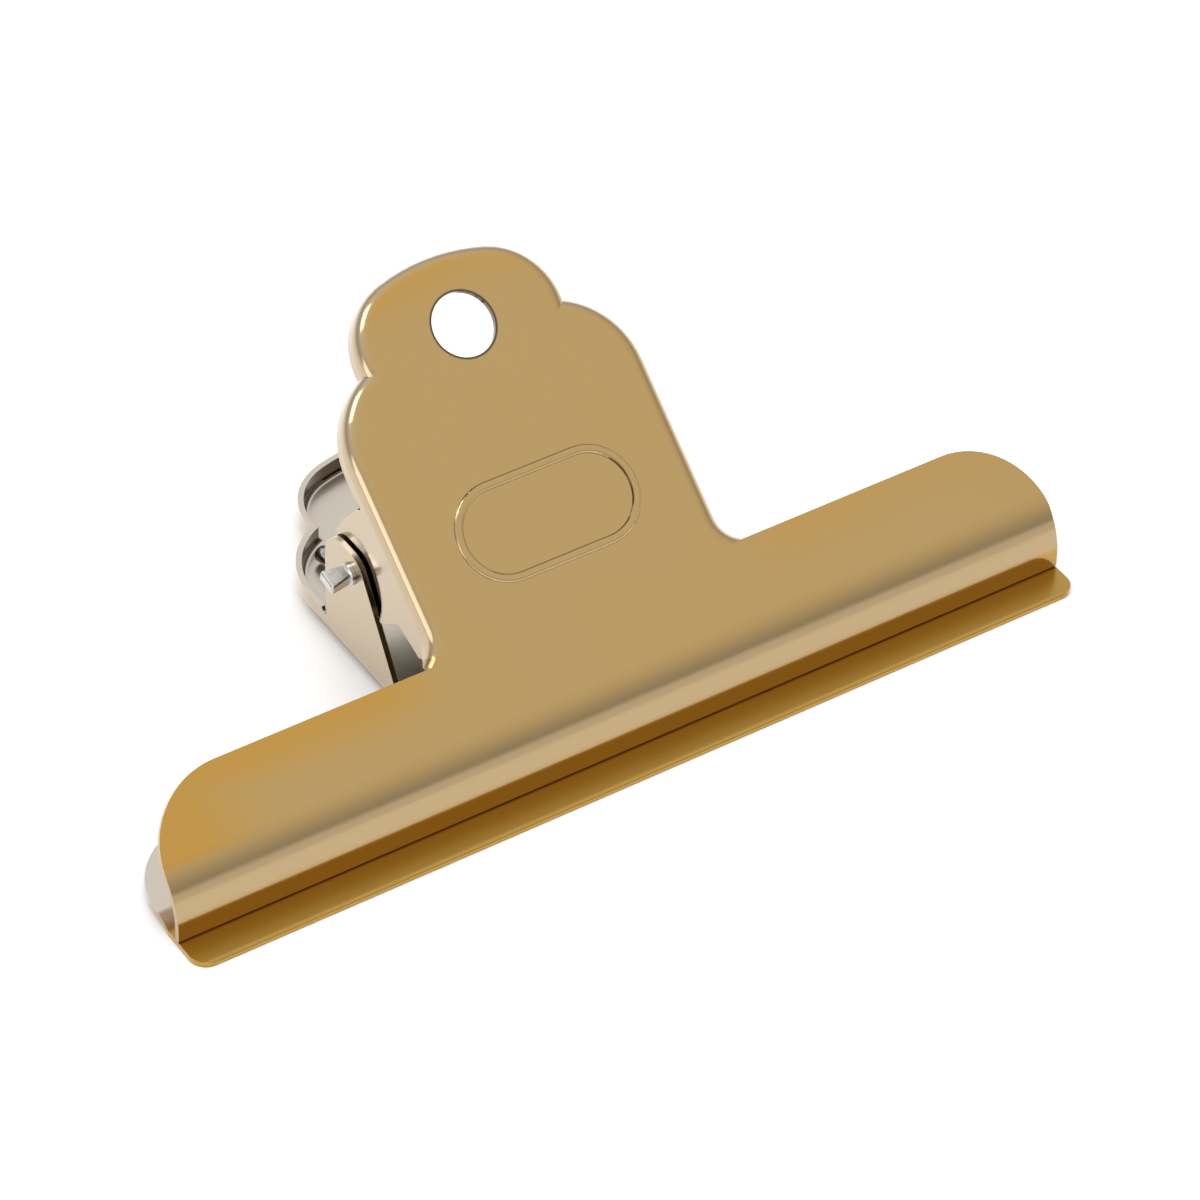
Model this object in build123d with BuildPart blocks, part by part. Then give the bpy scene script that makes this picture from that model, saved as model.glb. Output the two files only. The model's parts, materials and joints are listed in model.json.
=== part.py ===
from build123d import *
import math
import os

# A wide letter clip: two sheet-steel plates hinged on one pin, closed by a torsion spring.
# Millimetres. +X runs along the jaws, +Y from the mouth to the handles, +Z up.
# The rear plate lies flat, the front plate leans over it, and the jaws are closed.
#
# Each plate is drawn flat in its own frame: outer face on z = 0, inner side up,
# y measured from the line where the two outer faces would meet (the apex).

# ---- driving dimensions ----
jaw_width = 135.0
sheet = 0.8
face_angle = 39.0              # between the two flat outer faces, jaws closed
handle_end = 74.4              # top of the handle, from the apex
wing_edge = 25.2               # handle side of the wings, from the apex
wing_corner = 12.0             # plan radius of the wings' round corners

# handle outline
handle_half = 22.2
shoulder_radius = 12.2
shoulder_y = 51.9
lobe_radius = 10.1
dome_radius = 28.7
dome_half_angle = 16.0
notch_radius = 1.0
waist_radius = 4.0
rear_flange = 3.3              # height of the tray's flange above the outer face
front_flange = 3.8
rear_bend = 1.5                # outer radius where the flange is rolled up
front_bend = 2.3

# hanging hole
hole_y = 64.4
hole_radius = 4.4

# hinge: the ears, seen from the side
pin_y = 41.4
ear_handle_side = 47.8
ear_top = 17.8
ear_round = 3.6
rear_ear_foot = 29.6
rear_ear_peak = 39.7
front_ear_foot = 27.2
front_ear_rim = 5.7            # depth of the front flange at the waist
front_ear_elbow = (32.4, 7.4)  # where the front flange's rim turns down into the ear
front_ear_peak = 35.2
pocket_radius = 7.5            # the front ears are pressed in round the pin, to pass inside the rear ears
pocket_depth = 1.15
pocket_end = 12.4              # the pressed step stops here and the rest of the ear is the recessed sheet
relief_radius = 0.6            # small round notch between the flange rim and the ear

# pivot pin
pin_radius = 1.5
hole_play = 0.05               # radial play of the pin in every ear
pin_overhang = 0.8             # plain shaft outside the rear ears
shaft_chamfer = 0.25
head_length = 3.0              # the ends are squashed flat and spread towards their tips
neck_size = 2.1
tip_width = 3.3
tip_thickness = 1.5
tip_round = 0.3
squash_turn = 10.0

# mouth
wall_y = 8.05                  # outer side of the front plate's wall, in the rear plate's frame
wall_bend = 10.5               # outer radius where the front wing turns into its wall
foot_round = 0.3               # outer edge of the wall's foot
lip_front = 3.1
lip_corner = 2.5
lip_nose = 0.5                 # the lip's upper front edge is rolled over
lip_drop = 1.2                 # the lip lies this much below the rear plate's flat face
drop_start = 13.1
drop_end = 10.5
crease_radius = 1.2
jaw_gap = 0.05

# raised blank frame on the front handle
frame_y = 37.8
frame_length = 27.0
frame_height = 13.6
frame_line = 1.2
frame_relief = 0.4
frame_round = 0.37

# spring
wire = 2.4
coil_radius = 7.8              # to the middle of the wire
coil_half = 16.0
coil_turns = 12
leg_reach = 59.0               # where a leg's end rests on its plate
leg_play = 0.05

# ---- derived values ----
half_angle = math.radians(face_angle / 2)
pin_z = pin_y * math.tan(half_angle)
apex_y = -(handle_end + lip_front) / 2
sin_face = math.sin(math.radians(face_angle))
cos_face = math.cos(math.radians(face_angle))
rear_frame = Plane(origin=(0, apex_y, lip_drop))
front_frame = Plane(origin=(0, apex_y, lip_drop), x_dir=(-1, 0, 0), z_dir=(0, sin_face, -cos_face))
side_view = Plane.YZ           # local x is the plate's y, local y is its z


def to_front(y, z):
    """A point (y, z) of the rear plate's frame, in the front plate's frame."""
    return (y * cos_face + z * sin_face, y * sin_face - z * cos_face)


def outline_sketch(inset=0.0):
    """The handle with its shoulders and domed top on the full-width wing, or the same drawn inside it."""
    dome_y = handle_end - dome_radius
    dome_angle = math.radians(dome_half_angle)
    lobe_x = (dome_radius - lobe_radius) * math.sin(dome_angle)
    lobe_y = dome_y + (dome_radius - lobe_radius) * math.cos(dome_angle)
    tangent_x = (dome_radius - inset) * math.sin(dome_angle)
    tangent_y = dome_y + (dome_radius - inset) * math.cos(dome_angle)
    shoulder_x = handle_half - shoulder_radius
    edge = wing_edge - inset
    with BuildSketch() as outline:
        with Locations((0, edge / 2)):
            Rectangle(jaw_width - 2 * inset, edge)
        with Locations((0, (edge + shoulder_y) / 2)):
            Rectangle(2 * (handle_half - inset), shoulder_y - edge)
        with Locations((-shoulder_x, shoulder_y), (shoulder_x, shoulder_y)):
            Circle(shoulder_radius - inset)
        with Locations((-lobe_x, lobe_y), (lobe_x, lobe_y)):
            Circle(lobe_radius - inset)
        with Locations((0, (shoulder_y + lobe_y) / 2)):
            Rectangle(2 * shoulder_x, lobe_y - shoulder_y)
        with BuildLine():
            ThreePointArc((-tangent_x, tangent_y), (0, handle_end - inset), (tangent_x, tangent_y))
            Polyline((tangent_x, tangent_y), (lobe_x, lobe_y), (-lobe_x, lobe_y), (-tangent_x, tangent_y))
        make_face()
        corners = outline.vertices()
        waists = [v for v in corners if abs(v.Y - edge) < 0.01 and abs(v.X) < 30]
        notches = [v for v in corners if v.Y > shoulder_y + 5 and abs(v.X) > 12]
        fillet(waists, waist_radius + inset)
        fillet(notches, notch_radius + inset)
    return outline.sketch


def handle_tray(flange_height, bend_radius):
    """The handle as a shallow pressed tray: flat face, rolled bend and upright flange."""
    waist_x = handle_half + waist_radius
    with BuildPart() as pocket:
        with BuildSketch(Plane.XY.offset(sheet)):
            add(outline_sketch(sheet))
        extrude(amount=flange_height)
        floor_edges = pocket.edges().filter_by_position(Axis.Z, sheet - 0.01, sheet + 0.01)
        fillet(floor_edges.filter_by(lambda e: e.center().Y > wing_edge - 0.5), bend_radius - sheet)
    with BuildPart() as tray:
        with BuildSketch():
            add(outline_sketch())
            with Locations((0, wing_edge - 2 + handle_end / 2)):
                Rectangle(2 * waist_x, handle_end, mode=Mode.INTERSECT)
        extrude(amount=flange_height)
        bend_edges = tray.edges().filter_by_position(Axis.Z, -0.01, 0.01)
        fillet(bend_edges.filter_by(lambda e: e.center().Y > wing_edge), bend_radius)
        add(pocket.part, mode=Mode.SUBTRACT)
    return tray.part


def wing_plan(y_from):
    """The jaw seen from above: full width, with large corners at the handle side and small ones in front."""
    with BuildSketch() as plan:
        with Locations((0, (y_from + wing_edge) / 2)):
            Rectangle(jaw_width, wing_edge - y_from)
        fillet(plan.vertices().group_by(Axis.Y)[-1], wing_corner)
        fillet(plan.vertices().group_by(Axis.Y)[0], lip_corner)
    return plan.sketch


def side_walls(side_outline, outer_x, thickness):
    """The same wall on both sides: drawn from the side, thickened inwards from outer_x."""
    with BuildPart() as walls:
        with BuildSketch(side_view.offset(outer_x - thickness)):
            add(side_outline)
        extrude(amount=thickness)
        mirror(about=Plane.YZ)
    return walls.part


def bores(radius, y, z):
    """A long cylinder along X that cuts the pin holes of both ears."""
    with BuildPart() as cutter:
        with BuildSketch(side_view):
            with Locations((y, z)):
                Circle(radius)
        extrude(amount=handle_half + 2, both=True)
    return cutter.part


def side_cutter(points):
    """A prism across both side walls, drawn from the side."""
    with BuildPart() as cutter:
        with BuildSketch(side_view):
            with BuildLine():
                Polyline(points, close=True)
            make_face()
        extrude(amount=handle_half + waist_radius + 0.5, both=True)
    return cutter.part


def relief(flange_height):
    """A small round notch where the flange rim meets the ear's handle side."""
    with BuildPart() as cutter:
        with BuildSketch(side_view):
            with Locations((ear_handle_side + relief_radius / 2, flange_height)):
                Circle(relief_radius)
        extrude(amount=handle_half + 1, both=True)
    return cutter.part


# ---- rear plate: flat wing, stepped lip, outer ears ----
with BuildSketch() as rear_ear:
    with BuildLine():
        Polyline(
            (rear_ear_foot, rear_bend),
            (rear_ear_peak, ear_top),
            (ear_handle_side, ear_top),
            (ear_handle_side, rear_bend),
            close=True,
        )
    make_face()
    fillet(rear_ear.vertices().group_by(Axis.Y)[-1], ear_round)
with BuildPart() as rear_blank:
    with BuildSketch(side_view) as rear_profile:
        with BuildLine():
            Polyline(
                (wing_edge, 0),
                (drop_start, 0),
                (drop_end, -lip_drop),
                (lip_front, -lip_drop),
                (lip_front, sheet - lip_drop),
                (drop_end, sheet - lip_drop),
                (drop_start, sheet),
                (wing_edge, sheet),
                close=True,
            )
        make_face()
        nose = rear_profile.vertices().sort_by_distance((lip_front, sheet - lip_drop, 0))[0]
        fillet(nose, lip_nose)
    extrude(amount=jaw_width / 2, both=True)
    creases = rear_blank.edges().filter_by(Axis.X).filter_by_position(Axis.Y, drop_end - 0.1, drop_start + 0.1)
    fillet(creases, crease_radius)
    with BuildSketch(Plane.XY.offset(-5)):
        add(wing_plan(lip_front))
    extrude(amount=10, mode=Mode.INTERSECT)
    add(handle_tray(rear_flange, rear_bend))
    add(side_cutter([
        (wing_edge - 3, sheet),
        (rear_ear_foot - 0.6, sheet),
        (rear_ear_foot + 2, rear_flange + 1),
        (wing_edge - 3, rear_flange + 1),
    ]), mode=Mode.SUBTRACT)
    add(side_walls(rear_ear.sketch, handle_half, sheet))
    add(bores(pin_radius + hole_play, pin_y, pin_z), mode=Mode.SUBTRACT)
    add(relief(rear_flange), mode=Mode.SUBTRACT)
    with Locations((0, hole_y, 0)):
        Cylinder(hole_radius, 4 * sheet, mode=Mode.SUBTRACT)
with BuildPart(rear_frame) as rear_plate:
    add(rear_blank.part)
rear_plate.part.label = "rear_plate"

# ---- front plate: wing rolled down into a wall, inner ears stepped in ----
face_to_wall = wall_y / cos_face                         # where the wall line meets the outer face
wall_foot = to_front(wall_y, sheet - lip_drop + jaw_gap)
wall_foot_inner = to_front(wall_y + sheet, sheet - lip_drop + jaw_gap)
inner_corner = (face_to_wall + sheet * math.tan((math.pi / 2 - math.radians(face_angle)) / 2), sheet)
with BuildSketch() as front_ear:
    with BuildLine():
        Polyline(
            (front_ear_foot, front_bend),
            (front_ear_foot, front_ear_rim),
            front_ear_elbow,
            (front_ear_peak, ear_top),
            (ear_handle_side, ear_top),
            (ear_handle_side, front_bend),
            close=True,
        )
    make_face()
    fillet(front_ear.vertices().group_by(Axis.Y)[-1], ear_round)
with BuildSketch() as front_outer_wall:
    add(front_ear.sketch)
    with Locations((pin_y, pin_z)):
        Circle(pocket_radius, mode=Mode.SUBTRACT)
    with Locations((pin_y, pocket_end / 2)):
        Rectangle(handle_end, pocket_end, mode=Mode.INTERSECT)
with BuildSketch() as front_inner_wall:
    add(front_ear.sketch)
    with Locations((pin_y, pin_z)):
        Circle(pocket_radius + sheet, mode=Mode.INTERSECT)
with BuildSketch() as pocket_step:
    add(front_outer_wall.sketch)
    with Locations((pin_y, pin_z)):
        Circle(pocket_radius + sheet, mode=Mode.INTERSECT)
with BuildPart() as front_blank:
    with BuildSketch(side_view) as wing_profile:
        with BuildLine():
            Polyline(
                (wing_edge, 0),
                (face_to_wall, 0),
                wall_foot,
                wall_foot_inner,
                inner_corner,
                (wing_edge, sheet),
                close=True,
            )
        make_face()
        outer_turn = wing_profile.vertices().sort_by_distance((face_to_wall, 0, 0))[0]
        fillet(outer_turn, wall_bend)
        inner_turn = wing_profile.vertices().sort_by_distance((*inner_corner, 0))[0]
        fillet(inner_turn, wall_bend - sheet)
        outer_foot = wing_profile.vertices().sort_by_distance((*wall_foot, 0))[0]
        fillet(outer_foot, foot_round)
    extrude(amount=jaw_width / 2, both=True)
    with BuildSketch(Plane.XY.offset(-5)):
        add(wing_plan(-5))
    extrude(amount=25, mode=Mode.INTERSECT)
    add(handle_tray(front_flange, front_bend))
    add(side_cutter([
        (wing_edge - 3, sheet),
        (wing_edge, sheet),
        (front_ear_foot, front_flange),
        (front_ear_foot, front_flange + 1),
        (wing_edge - 3, front_flange + 1),
    ]), mode=Mode.SUBTRACT)
    add(side_walls(front_outer_wall.sketch, handle_half, sheet))
    add(side_walls(front_inner_wall.sketch, handle_half - pocket_depth, sheet))
    add(side_walls(pocket_step.sketch, handle_half, pocket_depth + sheet))
    add(bores(pin_radius + hole_play, pin_y, pin_z), mode=Mode.SUBTRACT)
    add(relief(front_flange), mode=Mode.SUBTRACT)
    with Locations((0, hole_y, 0)):
        Cylinder(hole_radius, 4 * sheet, mode=Mode.SUBTRACT)
    with BuildSketch(Plane.XY.offset(-frame_relief)):
        with Locations((0, frame_y)):
            SlotOverall(frame_length, frame_height)
            SlotOverall(frame_length - 2 * frame_line, frame_height - 2 * frame_line, mode=Mode.SUBTRACT)
    extrude(amount=frame_relief + 0.1)
    fillet(front_blank.faces().sort_by(Axis.Z)[0].edges(), frame_round)
with BuildPart(front_frame) as front_plate:
    add(front_blank.part)
front_plate.part.label = "front_plate"

# ---- pivot pin: round shaft, squashed flat at both ends ----
pin_shaft_half = handle_half + pin_overhang
pin_axis = Plane(origin=(0, apex_y + pin_y, lip_drop + pin_z), x_dir=(0, 1, 0), z_dir=(1, 0, 0))
with BuildPart() as pivot_pin:
    with BuildSketch(pin_axis):
        Circle(pin_radius)
    extrude(amount=pin_shaft_half, both=True)
    chamfer(pivot_pin.edges().filter_by(GeomType.CIRCLE), shaft_chamfer)
    for end in (-1, 1):
        with BuildSketch(pin_axis.offset(end * pin_shaft_half)):
            RectangleRounded(neck_size, neck_size, tip_round, rotation=squash_turn)
        with BuildSketch(pin_axis.offset(end * (pin_shaft_half + head_length))):
            RectangleRounded(tip_width, tip_thickness, tip_round, rotation=squash_turn)
        loft()
    end_faces = [pivot_pin.faces().sort_by(Axis.X)[i] for i in (0, -1)]
    chamfer([edge for face in end_faces for edge in face.edges()], shaft_chamfer)
pivot_pin.part.label = "pivot_pin"

# ---- torsion spring: close-wound coil round the pin, one leg on each plate ----
leg_rise = pin_z - sheet - leg_play - wire / 2
leg_reach_from_pin = math.hypot(leg_reach - pin_y, leg_rise)
leg_slope = math.atan2(leg_rise, leg_reach - pin_y) - math.asin(coil_radius / leg_reach_from_pin)
rear_leave = math.radians(270) - leg_slope                # where the rear leg leaves the coil
front_leave = 2 * half_angle - rear_leave                 # its mirror image about the mid-plane
wrap = (rear_leave - front_leave) % (2 * math.pi) + 2 * math.pi * coil_turns
coil_pitch = 2 * coil_half / (wrap / (2 * math.pi))


def pin_offset(angle, radius, x):
    """A point at an angle and radius round the pin, in the row's frame."""
    return Vector(
        x,
        apex_y + pin_y + radius * math.cos(angle),
        lip_drop + pin_z + radius * math.sin(angle),
    )


coil_start = Plane(
    origin=pin_offset(0, 0, -coil_half),
    x_dir=(0, math.cos(rear_leave), math.sin(rear_leave)),
    z_dir=(1, 0, 0),
)
leg_length = math.sqrt(leg_reach_from_pin**2 - coil_radius**2)
with BuildPart() as coil:
    with BuildLine() as turns:
        Helix(coil_pitch, 2 * coil_half, coil_radius, lefthand=True)
    with BuildSketch(Plane(origin=turns.line @ 0, z_dir=turns.line % 0)):
        Circle(wire / 2)
    sweep(path=turns.line)
with BuildPart() as torsion_spring:
    with Locations(coil_start):
        add(coil.part)
    for leave, x, turn in ((rear_leave, -coil_half, 1), (front_leave, coil_half, -1)):
        start = pin_offset(leave, coil_radius, x)
        along = Vector(0, -turn * math.sin(leave), turn * math.cos(leave))
        with BuildSketch(Plane(origin=start, z_dir=along)):
            Circle(wire / 2)
        extrude(amount=leg_length)
        with Locations(start):
            Sphere(wire / 2)
torsion_spring.part.label = "torsion_spring"

os.makedirs("parts", exist_ok=True)
export_step(rear_plate.part, "parts/rear_plate.step")
export_step(front_plate.part, "parts/front_plate.step")
export_step(pivot_pin.part, "parts/pivot_pin.step")
export_step(torsion_spring.part, "parts/torsion_spring.step")
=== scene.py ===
"""A wide letter clip: two gold-lacquered steel plates, a zinc-plated pin and a torsion spring."""
import math

import bmesh
import bpy
from mathutils import Matrix, Vector
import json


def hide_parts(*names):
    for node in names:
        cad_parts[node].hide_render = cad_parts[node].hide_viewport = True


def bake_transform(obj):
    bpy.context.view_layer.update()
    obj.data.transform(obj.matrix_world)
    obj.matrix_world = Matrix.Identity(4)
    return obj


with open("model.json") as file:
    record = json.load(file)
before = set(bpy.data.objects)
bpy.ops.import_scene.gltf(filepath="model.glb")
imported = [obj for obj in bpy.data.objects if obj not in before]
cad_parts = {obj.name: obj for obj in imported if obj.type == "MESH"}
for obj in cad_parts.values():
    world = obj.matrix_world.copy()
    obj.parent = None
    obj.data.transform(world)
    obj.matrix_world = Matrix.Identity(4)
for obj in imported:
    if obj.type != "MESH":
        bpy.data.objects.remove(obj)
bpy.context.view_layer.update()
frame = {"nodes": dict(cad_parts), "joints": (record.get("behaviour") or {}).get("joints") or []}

MM = 0.001
FACE_ANGLE = math.radians(39)      # between the two flat faces with the jaws closed
SHEET = 0.8 * MM

# The apex is the line where the two outer faces would meet. It is below and in front of the wall.
hinge = Vector(frame["joints"][0]["pos_m"])
PIN_FROM_APEX = 41.4 * MM
LIP_DROP = 1.2 * MM
apex = Vector((0, hinge.y - PIN_FROM_APEX, LIP_DROP))
front_out = Vector((0, -math.sin(FACE_ANGLE), math.cos(FACE_ANGLE)))
front_up = Vector((0, math.cos(FACE_ANGLE), math.sin(FACE_ANGLE)))
rear_out = Vector((0, 0, -1))
rear_up = Vector((0, 1, 0))


# ---- shader helpers ----
class Shader:
    """A new material with its Principled shader, and short calls that add the nodes before it."""

    def __init__(self, name):
        self.material = bpy.data.materials.new(name)
        self.material.use_nodes = True
        self.nodes = self.material.node_tree.nodes
        self.links = self.material.node_tree.links
        self.bsdf = self.nodes["Principled BSDF"]

    def plug(self, socket, value):
        """Links a node's output to a socket, or sets the socket to a plain value."""
        if isinstance(value, bpy.types.NodeSocket):
            self.links.new(value, socket)
        elif isinstance(value, Vector):
            socket.default_value = tuple(value)
        elif value is not None:
            socket.default_value = value

    def math(self, operation, *values, clamp=False):
        node = self.nodes.new("ShaderNodeMath")
        node.operation = operation
        node.use_clamp = clamp
        for socket, value in zip(node.inputs, values):
            self.plug(socket, value)
        return node.outputs[0]

    def dot(self, vector, direction):
        node = self.nodes.new("ShaderNodeVectorMath")
        node.operation = "DOT_PRODUCT"
        self.plug(node.inputs[0], vector)
        self.plug(node.inputs[1], direction)
        return node.outputs["Value"]

    def reach(self, first, second):
        """The length of a vector with these two parts."""
        squares = [self.math("MULTIPLY", part, part) for part in (first, second)]
        return self.math("SQRT", self.math("ADD", *squares))

    def step(self, value, low, high):
        """0 at low, 1 at high, smooth between them."""
        node = self.nodes.new("ShaderNodeMapRange")
        node.interpolation_type = "SMOOTHSTEP"
        for name, entry in (("Value", value), ("From Min", low), ("From Max", high)):
            self.plug(node.inputs[name], entry)
        return node.outputs["Result"]

    def minus(self, vector, other):
        node = self.nodes.new("ShaderNodeVectorMath")
        node.operation = "SUBTRACT"
        self.plug(node.inputs[0], vector)
        self.plug(node.inputs[1], other)
        return node.outputs["Vector"]

    def scaled(self, vector, scale):
        """Texture coordinates stretched by a scale along each axis."""
        node = self.nodes.new("ShaderNodeVectorMath")
        node.operation = "MULTIPLY"
        self.plug(node.inputs[0], vector)
        self.plug(node.inputs[1], scale)
        return node.outputs["Vector"]

    def noise(self, vector, scale, detail=3.0, rough=0.5):
        node = self.nodes.new("ShaderNodeTexNoise")
        self.plug(node.inputs["Vector"], vector)
        self.plug(node.inputs["Scale"], scale)
        self.plug(node.inputs["Detail"], detail)
        self.plug(node.inputs["Roughness"], rough)
        return node.outputs["Fac"]

    def mix(self, factor, first, second):
        """A blend of two colours."""
        node = self.nodes.new("ShaderNodeMix")
        node.data_type = "RGBA"
        self.plug(node.inputs["Factor"], factor)
        self.plug(node.inputs["A"], first)
        self.plug(node.inputs["B"], second)
        return node.outputs["Result"]

    def bump(self, height, distance, strength, normal=None):
        node = self.nodes.new("ShaderNodeBump")
        self.plug(node.inputs["Height"], height)
        node.inputs["Distance"].default_value = distance
        node.inputs["Strength"].default_value = strength
        if normal is not None:
            self.plug(node.inputs["Normal"], normal)
        return node.outputs["Normal"]

    def rounded_edges(self, radius):
        node = self.nodes.new("ShaderNodeBevel")
        node.samples = 6
        node.inputs["Radius"].default_value = radius
        return node.outputs["Normal"]

    def coordinates(self):
        node = self.nodes.new("ShaderNodeTexCoord")
        return node.outputs["Object"], node.outputs["Normal"]


# ---- materials ----
BARE = (0.64, 0.575, 0.48, 1)           # inside the trays: bright plating under a breath of lacquer
PALE = (0.49, 0.375, 0.23, 1)           # outside of the flanges and ears: a thin coat
SHADE_BROWN = (0.07, 0.034, 0.008, 1)         # painted shade, near black: inside the flanges, round the hanging hole and in the front ears' pockets
GOLD = (0.47, 0.305, 0.1, 1)
DEEP_GOLD = (0.52, 0.28, 0.035, 1)      # along the rims, where the lacquer is thickest
LIGHT_GOLD = (0.445, 0.31, 0.148, 1)    # over the rolled bend, where it has drawn thin
REFLECTION_AMBER = (0.45, 0.255, 0.025, 1)         # painted reflection: deeper amber for gold reflecting gold in the corner between the wall and the lip
EDGE_GOLD = (0.42, 0.25, 0.075, 1)      # on the cut edges of the wings

# Places along a plate, from the apex. A pair is where something starts to show and where it is full.
TRAY_MIDDLE = 54 * MM                   # a point inside the handle's tray
ROLLED = (15 * MM, 14 * MM)             # the front wing's bend and wall
LIP = (12 * MM, 10.5 * MM)              # the rear plate's lip
CUT_EDGES = (28.2 * MM, 25.2 * MM)      # below this, upright faces are the wing's cut edges
WING_RIM = (17 * MM, 25.5 * MM)         # the lacquer gets deeper towards the wing's handle side
DOME_RIM = (64 * MM, 75 * MM)           # and towards the top of the handle
HOLE_AT = 64.4 * MM                     # the hanging hole's centre
BELOW_PIN = (PIN_FROM_APEX + 4.5 * MM, PIN_FROM_APEX + 1.5 * MM)

# Places across a plate, and distances from the hole's and the pin's centres.
WING_SPAN = (20 * MM, 32 * MM)          # off centre: past the handle, on the wings
LEFT_END = (-46 * MM, -66 * MM)
LEAN = (80 * MM, -80 * MM)              # the deeper gold is stronger to the left
# rings of painted shade: round the hanging hole, and in the front ears' pockets
HOLE_RIM_SHADE = (4.8 * MM, 4.55 * MM)
POCKET_SHADE = (7.8 * MM, 7.55 * MM)          # painted shade in the front ears' pockets, which are pressed in round the pin

# Which way a face looks: 1 is straight out, 0 is sideways, -1 is into the clip.
UPRIGHT = (0.97, 0.85)                  # either way from flat, for the absolute value
COVERED = (0.6, 0.97)                   # lacquer in full
COVERED_AT_MOUTH = (0.2, 0.5)
ON_BEND = (0.93, 0.99)
ON_WALL = (0.69, 0.77)
INWARD = (-0.5, -0.9)


def mouth_lacquer_and_reflection(s, facing, along):
    """The front wing's bend and wall: drawn thin over the bend, with a painted amber reflection on the
    wall. Colour and mask.
    """
    bend = s.mix(s.step(facing, *ON_BEND), LIGHT_GOLD, GOLD)
    return s.mix(s.step(facing, *ON_WALL), REFLECTION_AMBER, bend), s.step(along, *ROLLED)


def lacquer_depth(s, place, along, across):
    """0 to 1: deeper gold towards the rims and the left end, in soft clouds."""
    off_centre = s.math("ABSOLUTE", across)
    wing_rim = s.math("MULTIPLY", s.step(along, *WING_RIM), s.step(off_centre, *WING_SPAN))
    rim = s.math("MAXIMUM", wing_rim, s.step(along, *DOME_RIM))
    rim = s.math("MAXIMUM", rim, s.step(across, *LEFT_END))
    depth = s.math("MULTIPLY", rim, s.math("ADD", 0.25, s.step(across, *LEAN)))
    cloud = s.math("SUBTRACT", s.noise(place, 45, 2), 0.5)
    return s.math("ADD", depth, s.math("MULTIPLY", cloud, 0.5), clamp=True)


def painted_shade_places(s, place, along, across, is_front):
    """1 where shade is painted brown: round the hanging hole, and in the front ears' pockets."""
    from_hole = s.reach(across, s.math("SUBTRACT", along, HOLE_AT))
    dark = s.step(from_hole, *HOLE_RIM_SHADE)
    if not is_front:
        return dark
    from_pin = s.minus(place, hinge)
    from_pin = s.reach(s.dot(from_pin, (0, 1, 0)), s.dot(from_pin, (0, 0, 1)))
    pocket = s.math("MULTIPLY", s.step(from_pin, *POCKET_SHADE), s.step(along, *BELOW_PIN))
    return s.math("MAXIMUM", dark, pocket)


def lacquered_plate(name, out, up, is_front):
    """Gold lacquer over bright steel: full on the outer face, thin on the flanges and inside, with painted
    shade and a painted amber reflection.
    """
    s = Shader(name)
    place, normal = s.coordinates()
    along = s.math("SUBTRACT", s.dot(place, up), up.dot(apex))
    across = s.dot(place, (1, 0, 0))
    facing = s.dot(normal, out)
    outward = s.dot(normal, s.minus(place, apex + up * TRAY_MIDDLE))
    # upright faces that look into the clip get painted shade; those that look out get the thin pale coat
    upright_tint_and_shade = s.mix(s.step(outward, -1 * MM, 1 * MM), SHADE_BROWN, PALE)
    upright_tint_and_shade = s.mix(s.step(along, *CUT_EDGES), upright_tint_and_shade, EDGE_GOLD)
    thin = s.mix(s.step(s.math("ABSOLUTE", facing), *UPRIGHT), BARE, upright_tint_and_shade)
    full = s.mix(lacquer_depth(s, place, along, across), GOLD, DEEP_GOLD)
    cover = s.step(facing, *COVERED)
    if is_front:
        mouth, at_mouth = mouth_lacquer_and_reflection(s, facing, along)
        full = s.mix(at_mouth, full, mouth)
        covered_mouth = s.math("MULTIPLY", at_mouth, s.step(facing, *COVERED_AT_MOUTH))
        cover = s.math("MAXIMUM", cover, covered_mouth)
    else:
        at_lip = s.step(along, *LIP)
        # the lip gets the painted amber reflection
        full = s.mix(at_lip, full, REFLECTION_AMBER)
        cover = s.math("MAXIMUM", cover, at_lip)
    # painted shade round the hanging hole and in the front pockets goes over the lacquer
    dark = painted_shade_places(s, place, along, across, is_front)
    s.plug(s.bsdf.inputs["Base Color"], s.mix(dark, s.mix(cover, thin, full), SHADE_BROWN))
    s.bsdf.inputs["Metallic"].default_value = 1.0

    smudge = s.noise(place, 160, 4, 0.6)
    grain = s.noise(s.scaled(place, (0.08, 1, 1)), 4200, 2)
    rough = s.math("MULTIPLY_ADD", smudge, 0.07, 0.1)
    rough = s.math("MULTIPLY_ADD", grain, 0.04, rough)
    rough = s.math("MULTIPLY_ADD", s.step(facing, *INWARD), 0.16, rough)
    s.plug(s.bsdf.inputs["Roughness"], rough)
    s.bsdf.inputs["Coat Weight"].default_value = 1.0
    s.bsdf.inputs["Coat Roughness"].default_value = 0.06
    s.bsdf.inputs["Coat IOR"].default_value = 1.5
    soft = s.rounded_edges(0.14 * MM)
    peel = s.bump(s.noise(place, 520, 2), 0.02 * MM, 0.25, soft)
    s.plug(s.bsdf.inputs["Normal"], s.bump(grain, 0.004 * MM, 0.25, peel))
    return s.material


def zinc(name, colour, rough):
    """Bright zinc plating with small dents and a slightly mottled gloss."""
    s = Shader(name)
    place, _ = s.coordinates()
    mottle = s.noise(place, 700, 4, 0.65)
    darker = tuple(0.82 * part for part in colour[:3]) + (1,)
    s.plug(s.bsdf.inputs["Base Color"], s.mix(s.step(mottle, 0.35, 0.7), darker, colour))
    s.bsdf.inputs["Metallic"].default_value = 1.0
    s.plug(s.bsdf.inputs["Roughness"], s.math("MULTIPLY_ADD", mottle, 0.16, rough))
    dents = s.bump(s.noise(place, 900, 3), 0.05 * MM, 0.4, s.rounded_edges(0.12 * MM))
    s.plug(s.bsdf.inputs["Normal"], dents)
    return s.material


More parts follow.
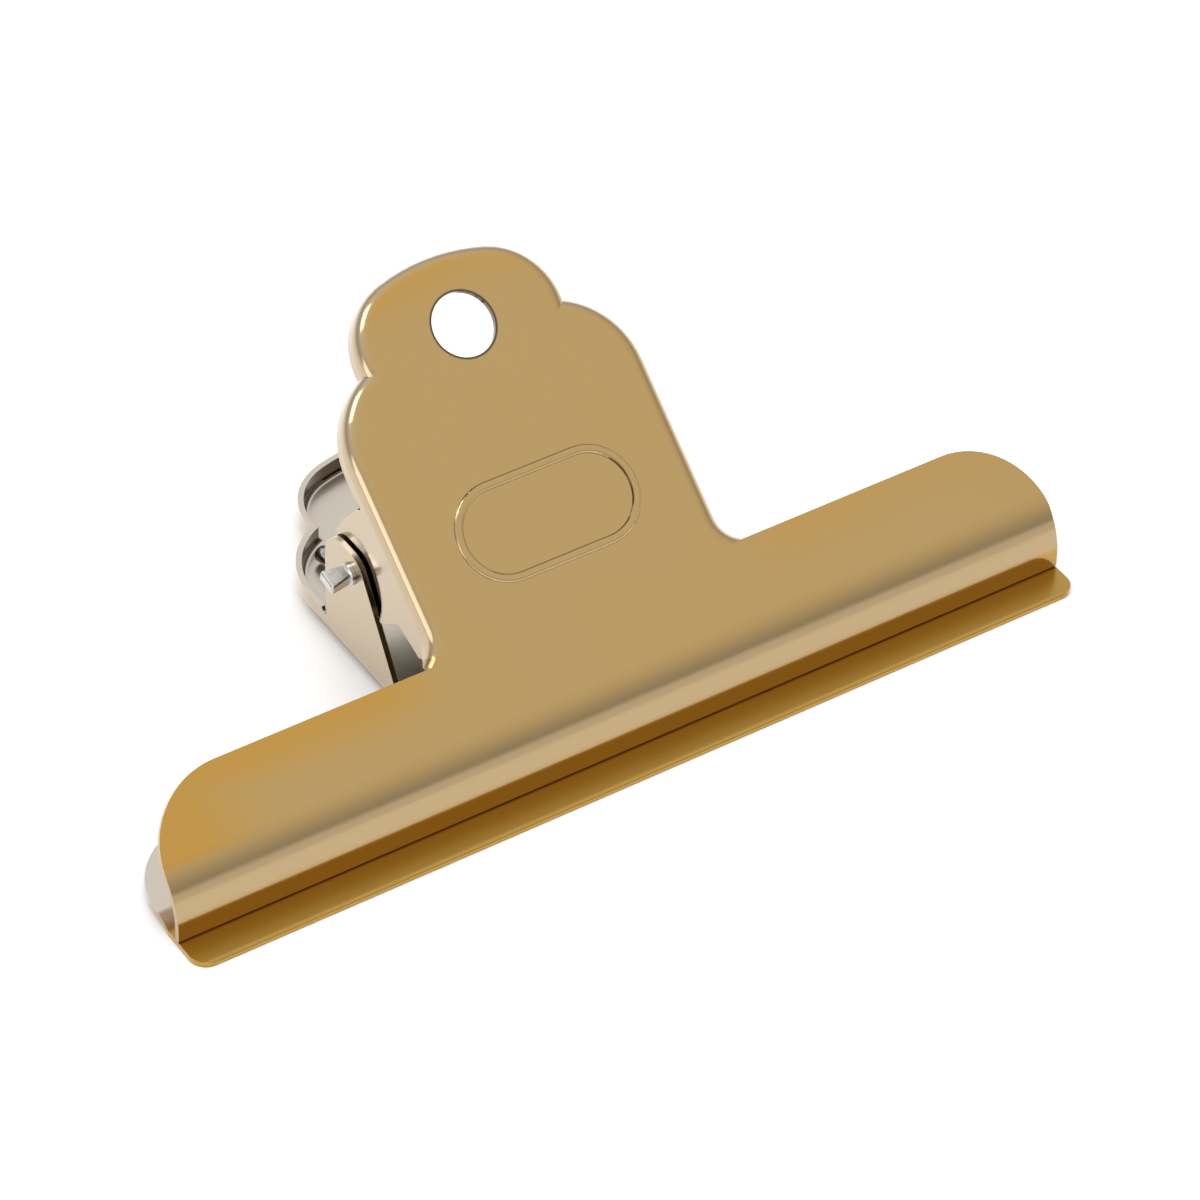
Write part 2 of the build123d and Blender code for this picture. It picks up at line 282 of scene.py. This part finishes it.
front = frame["nodes"]["front_plate"]
rear = frame["nodes"]["rear_plate"]
pin = frame["nodes"]["pivot_pin"]
plated_front = lacquered_plate("front_lacquer_and_shade", front_out, front_up, is_front=True)
plated_rear = lacquered_plate("rear_lacquer_and_shade", rear_out, rear_up, is_front=False)
pin_zinc = zinc("pin_zinc", (0.68, 0.67, 0.65, 1), 0.16)
spring_zinc = zinc("spring_zinc", (0.56, 0.56, 0.54, 1), 0.14)
for node, material, slot in (
    (front, plated_front, "brass_finish"),
    (rear, plated_rear, "brass_finish"),
    (pin, pin_zinc, "zinc_steel"),
):
    node.data.materials.clear()
    node.data.materials.append(material)

# ---- torsion spring ----
WIRE = 2.4 * MM
COIL_RADIUS = 7.8 * MM
COIL_HALF = 16 * MM
COIL_TURNS = 12
LEG_REACH = 59 * MM                # where a leg's end rests on its plate, from the apex
LEG_PLAY = 0.05 * MM


def spring_path():
    """The wire's centreline: the rear leg's end, the coil round the pin, the front leg's end."""
    rise = hinge.z - apex.z - SHEET - LEG_PLAY - WIRE / 2
    run = LEG_REACH - PIN_FROM_APEX
    reach = math.hypot(run, rise)
    slope = math.atan2(rise, run) - math.asin(COIL_RADIUS / reach)
    rear_leave = math.radians(270) - slope
    front_leave = FACE_ANGLE - rear_leave
    turn = (rear_leave - front_leave) % math.tau + math.tau * COIL_TURNS
    leg = math.sqrt(reach**2 - COIL_RADIUS**2)
    steps_per_turn = 56
    count = round(turn / math.tau * steps_per_turn)
    points = []
    for i in range(count + 1):
        share = i / count
        angle = rear_leave - turn * share
        points.append(hinge + Vector((
            COIL_HALF * (2 * share - 1),
            COIL_RADIUS * math.cos(angle),
            COIL_RADIUS * math.sin(angle),
        )))
    rear_way = Vector((0, -math.sin(rear_leave), math.cos(rear_leave)))
    front_way = Vector((0, math.sin(front_leave), -math.cos(front_leave)))
    leg_steps = 10
    rear_leg = [points[0] + rear_way * (leg * (1 - i / leg_steps)) for i in range(leg_steps)]
    front_leg = [points[-1] + front_way * (leg * (i + 1) / leg_steps) for i in range(leg_steps)]
    return rear_leg + points + front_leg


def wire_mesh(name, path, radius, sides=20, end_round=0.25 * MM):
    """A round wire along a path, with slightly rounded cut ends."""
    mesh = bpy.data.meshes.new(name)
    bm = bmesh.new()
    layer = bm.loops.layers.uv.new("wire")
    ways = [(path[min(i + 1, len(path) - 1)] - path[max(i - 1, 0)]).normalized() for i in range(len(path))]
    side = Vector((1, 0, 0))
    rings = []
    lengths = [0.0]
    for a, b in zip(path, path[1:]):
        lengths.append(lengths[-1] + (b - a).length)
    first, last = path[0], path[-1]
    stations = [(first, ways[0], radius - end_round, 0.0)]
    stations += [(first + ways[0] * end_round, ways[0], radius, end_round)]
    stations += [(p, w, radius, at) for p, w, at in zip(path[1:-1], ways[1:-1], lengths[1:-1])]
    stations += [(last - ways[-1] * end_round, ways[-1], radius, lengths[-1] - end_round)]
    stations += [(last, ways[-1], radius - end_round, lengths[-1])]
    for point, way, size, _ in stations:
        side = (side - way * side.dot(way)).normalized()
        other = way.cross(side)
        ring = []
        for k in range(sides):
            angle = math.tau * k / sides
            ring.append(bm.verts.new(point + size * (side * math.cos(angle) + other * math.sin(angle))))
        rings.append(ring)
    for i, (near, far) in enumerate(zip(rings, rings[1:])):
        for k in range(sides):
            nxt = (k + 1) % sides
            face = bm.faces.new((near[k], near[nxt], far[nxt], far[k]))
            face.smooth = True
            corners = ((i, k), (i, k + 1), (i + 1, k + 1), (i + 1, k))
            for loop, (row, column) in zip(face.loops, corners):
                loop[layer].uv = (stations[row][3] / MM, column / sides)
    bm.faces.new(list(reversed(rings[0])))
    bm.faces.new(rings[-1])
    bmesh.ops.recalc_face_normals(bm, faces=bm.faces)
    bm.to_mesh(mesh)
    bm.free()
    return mesh


spring = bpy.data.objects.new("wound_spring", wire_mesh("wound_spring", spring_path(), WIRE / 2))
bpy.context.scene.collection.objects.link(spring)
spring.data.materials.append(spring_zinc)
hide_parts("torsion_spring")
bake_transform(spring)


# ---- floor, light and camera ----
WORLD_LEVELS = (                        # how high a direction points, and how bright it is there
    (0.0, 1.02),
    (0.15, 0.98),
    (0.22, 0.5),
    (0.5, 0.8),
    (0.72, 1.0),
    (1.0, 1.0),
)


def floor():
    size = 3.0
    mesh = bpy.data.meshes.new("floor")
    corners = [(x * size, y * size, 0) for x, y in ((-1, -1), (1, -1), (1, 1), (-1, 1))]
    mesh.from_pydata(corners, [], [(0, 1, 2, 3)])
    plane = bpy.data.objects.new("floor", mesh)
    bpy.context.scene.collection.objects.link(plane)
    s = Shader("floor_white")
    s.bsdf.inputs["Base Color"].default_value = (0.9, 0.9, 0.9, 1)
    s.bsdf.inputs["Roughness"].default_value = 0.9
    s.bsdf.inputs["Specular IOR Level"].default_value = 0.1
    mesh.materials.append(s.material)


def studio_world():
    """A white sweep that curves up behind the floor, a dim band above it, and a pale ceiling."""
    world = bpy.data.worlds.new("studio")
    bpy.context.scene.world = world
    world.use_nodes = True
    nodes = world.node_tree.nodes
    links = world.node_tree.links
    coordinate = nodes.new("ShaderNodeTexCoord")
    split = nodes.new("ShaderNodeSeparateXYZ")
    ramp = nodes.new("ShaderNodeValToRGB")
    while len(ramp.color_ramp.elements) < len(WORLD_LEVELS):
        ramp.color_ramp.elements.new(0.5)
    for element, (height, level) in zip(ramp.color_ramp.elements, WORLD_LEVELS):
        element.position = height
        element.color = (level, level, level, 1)
    links.new(coordinate.outputs["Generated"], split.inputs["Vector"])
    links.new(split.outputs["Z"], ramp.inputs["Fac"])
    links.new(ramp.outputs["Color"], nodes["Background"].inputs["Color"])
    nodes["Background"].inputs["Strength"].default_value = 1.0


def softbox(name, direction, distance, width, height, radiance, in_reflections=True, on_matte=True):
    """A rectangular lamp that faces the clip and looks equally bright whatever its size."""
    data = bpy.data.lights.new(name, "AREA")
    data.shape = "RECTANGLE"
    data.size = width
    data.size_y = height
    data.energy = radiance * math.pi * width * height
    lamp = bpy.data.objects.new(name, data)
    bpy.context.scene.collection.objects.link(lamp)
    lamp.location = direction.normalized() * distance
    lamp.rotation_mode = "QUATERNION"
    lamp.rotation_quaternion = (-direction).to_track_quat("-Z", "Y")
    lamp.visible_glossy = in_reflections
    lamp.visible_diffuse = on_matte


def camera():
    """A long lens, from the front left and above."""
    azimuth, elevation, roll = math.radians(-34.72), math.radians(41.79), math.radians(2.21)
    target = Vector((12.45, -3.8, 0)) * MM
    distance = 777.8 * MM
    back = Vector((
        math.sin(azimuth) * math.cos(elevation),
        -math.cos(azimuth) * math.cos(elevation),
        math.sin(elevation),
    ))
    data = bpy.data.cameras.new("camera")
    data.sensor_width = 36
    data.lens = 176.43
    eye = bpy.data.objects.new("camera", data)
    bpy.context.scene.collection.objects.link(eye)
    level = (-back).to_track_quat("-Z", "Y").to_matrix()
    eye.matrix_world = Matrix.Translation(target + back * distance) @ (
        level @ Matrix.Rotation(roll, 3, "Z")
    ).to_4x4()
    bpy.context.scene.camera = eye


floor()
studio_world()
softbox("key_softbox", Vector((-0.42, 0.52, 0.74)), distance=1.0, width=0.45, height=0.35, radiance=3.0)
softbox(
    "side_softbox", Vector((-0.93, -0.14, 0.28)),
    distance=1.0, width=0.5, height=0.36, radiance=1.5, on_matte=False,
)
softbox(
    "floor_light", Vector((-0.05, 0.1, 1.0)),
    distance=1.3, width=1.6, height=1.6, radiance=1.3, in_reflections=False,
)
camera()
bpy.context.scene.view_settings.view_transform = "Standard"
